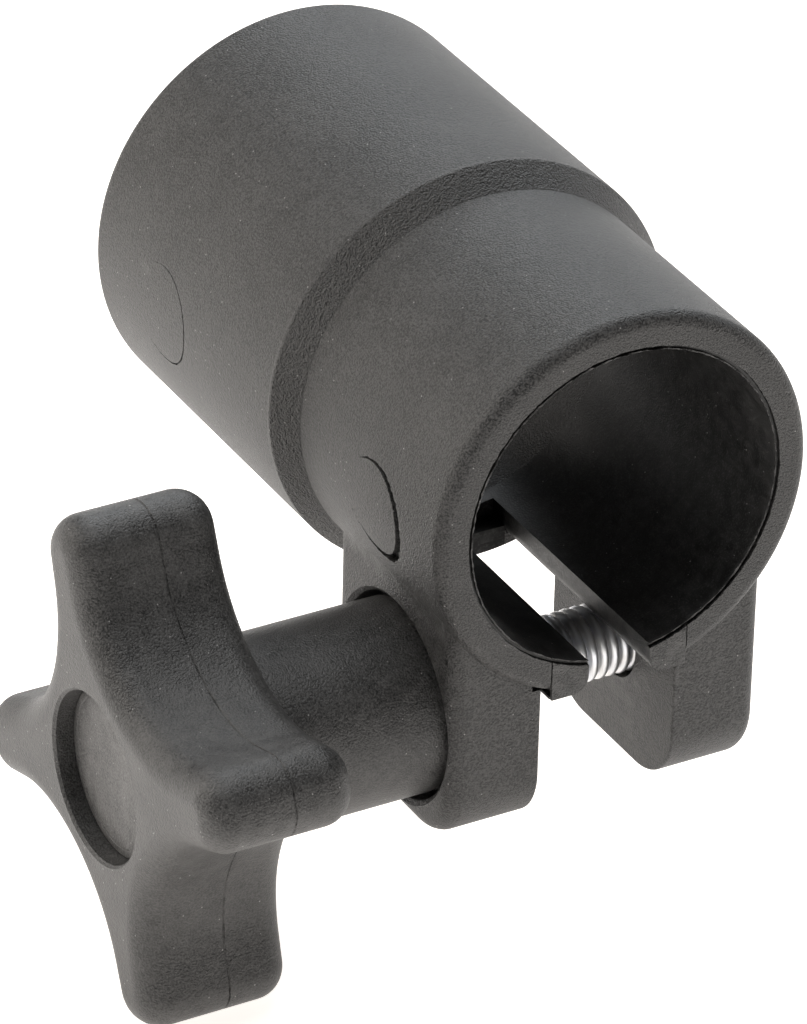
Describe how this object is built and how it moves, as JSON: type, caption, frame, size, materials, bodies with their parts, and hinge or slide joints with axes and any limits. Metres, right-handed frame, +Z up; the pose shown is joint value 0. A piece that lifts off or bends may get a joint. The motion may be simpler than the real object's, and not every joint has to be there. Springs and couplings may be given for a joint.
{
  "type": "pipe clamp",
  "caption": "Moulded pipe clamp with a stepped tube: a split clamping end that a star knob and bolt draw closed on a pole, and a plain socket for a larger tube.",
  "frame": {"origin": "centre of the clamping bore's mouth, on the tube's axis", "axes": "+Y along the tube from the clamping mouth to the socket, +Z up with the ears and bolt hanging below, knob at -X"},
  "size_m": [0.0753, 0.0828, 0.0739],
  "materials": {
    "body_plastic": "satin, fine moulded grain",
    "knob_plastic": "satin, fine moulded grain",
    "cap_plastic": "satin, fine moulded grain",
    "zinc_steel": "bright zinc plate"
  },
  "bodies": {
    "clamp": {"clamp_body": "body_plastic", "clamp_nut": "zinc_steel"},
    "washer": {"thrust_washer": "zinc_steel"},
    "knob": {"star_knob": "knob_plastic", "clamp_bolt": "zinc_steel", "knob_cap": "cap_plastic"}
  },
  "joints": [
    {"name": "knob_travel", "type": "slide", "parent": "clamp", "child": "washer", "axis": [1, 0, 0], "range_m": [-0.005, 0.0005]},
    {"name": "knob_spin", "type": "hinge", "parent": "washer", "child": "knob", "pos_m": [-0.01675, 0.0142, -0.0251], "axis": [1, 0, 0], "range_deg": [-1440, 144]}
  ],
  "couplings": [
    {"joint": "knob_travel", "follows": "knob_spin", "m_per_rad": 0.00019894}
  ]
}
